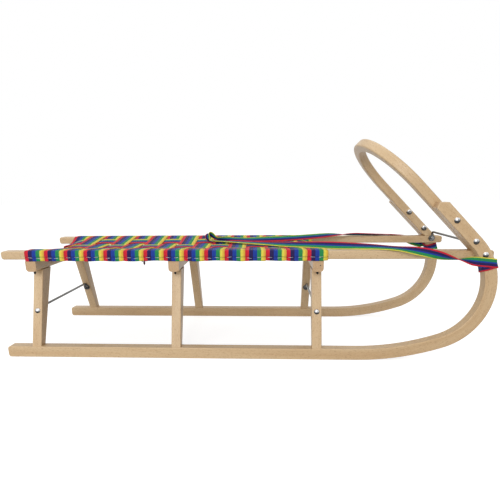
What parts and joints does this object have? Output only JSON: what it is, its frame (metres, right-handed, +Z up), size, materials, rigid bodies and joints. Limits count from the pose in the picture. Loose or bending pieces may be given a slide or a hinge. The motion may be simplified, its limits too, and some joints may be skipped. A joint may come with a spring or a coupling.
{
  "type": "wooden sled",
  "caption": "Bentwood sled: curved runners that rise into horns joined by a hoop, splayed legs, woven webbing seat on two rails, steel tie rods and a webbing pull strap.",
  "frame": {"origin": "on the ground under the middle of the sled's overall box, without the pull strap", "axes": "+X forward along the runners, +Y to the sled's left, +Z up"},
  "size_m": [1.1015, 0.3376, 0.4909],
  "materials": {
    "beech": "clear satin lacquer on steamed beech",
    "webbing": "woven striped webbing",
    "zinc": "bright zinc plate",
    "steel_rod": "drawn steel wire"
  },
  "bodies": {
    "root": {"crossbar_front": "beech", "crossbar_middle": "beech", "crossbar_rear": "beech", "hoop": "beech", "hoop_bolt_lower_left": "zinc", "hoop_bolt_lower_right": "zinc", "hoop_bolt_upper_left": "zinc", "hoop_bolt_upper_right": "zinc", "hoop_nut_lower_left": "zinc", "hoop_nut_lower_right": "zinc", "hoop_nut_upper_left": "zinc", "hoop_nut_upper_right": "zinc", "leg_bolt_front_left": "zinc", "leg_bolt_front_right": "zinc", "leg_bolt_rear_left": "zinc", "leg_bolt_rear_right": "zinc", "leg_front_left": "beech", "leg_front_right": "beech", "leg_middle_left": "beech", "leg_middle_right": "beech", "leg_nut_front_left": "zinc", "leg_nut_front_right": "zinc", "leg_nut_rear_left": "zinc", "leg_nut_rear_right": "zinc", "leg_rear_left": "beech", "leg_rear_right": "beech", "pull_strap": "webbing", "rail_bolt_left": "zinc", "rail_bolt_right": "zinc", "rail_left": "beech", "rail_nut_left": "zinc", "rail_nut_right": "zinc", "rail_right": "beech", "runner_left": "beech", "runner_right": "beech", "screw_front_left": "zinc", "screw_front_right": "zinc", "screw_middle_left": "zinc", "screw_middle_right": "zinc", "screw_rear_left": "zinc", "screw_rear_right": "zinc", "seat_bands_over": "webbing", "seat_bands_under": "webbing", "seat_strips": "webbing", "strap_loop_left": "webbing", "strap_loop_right": "webbing", "tie_rod_front": "steel_rod", "tie_rod_horn": "steel_rod", "tie_rod_rear": "steel_rod"}
  },
  "joints": []
}
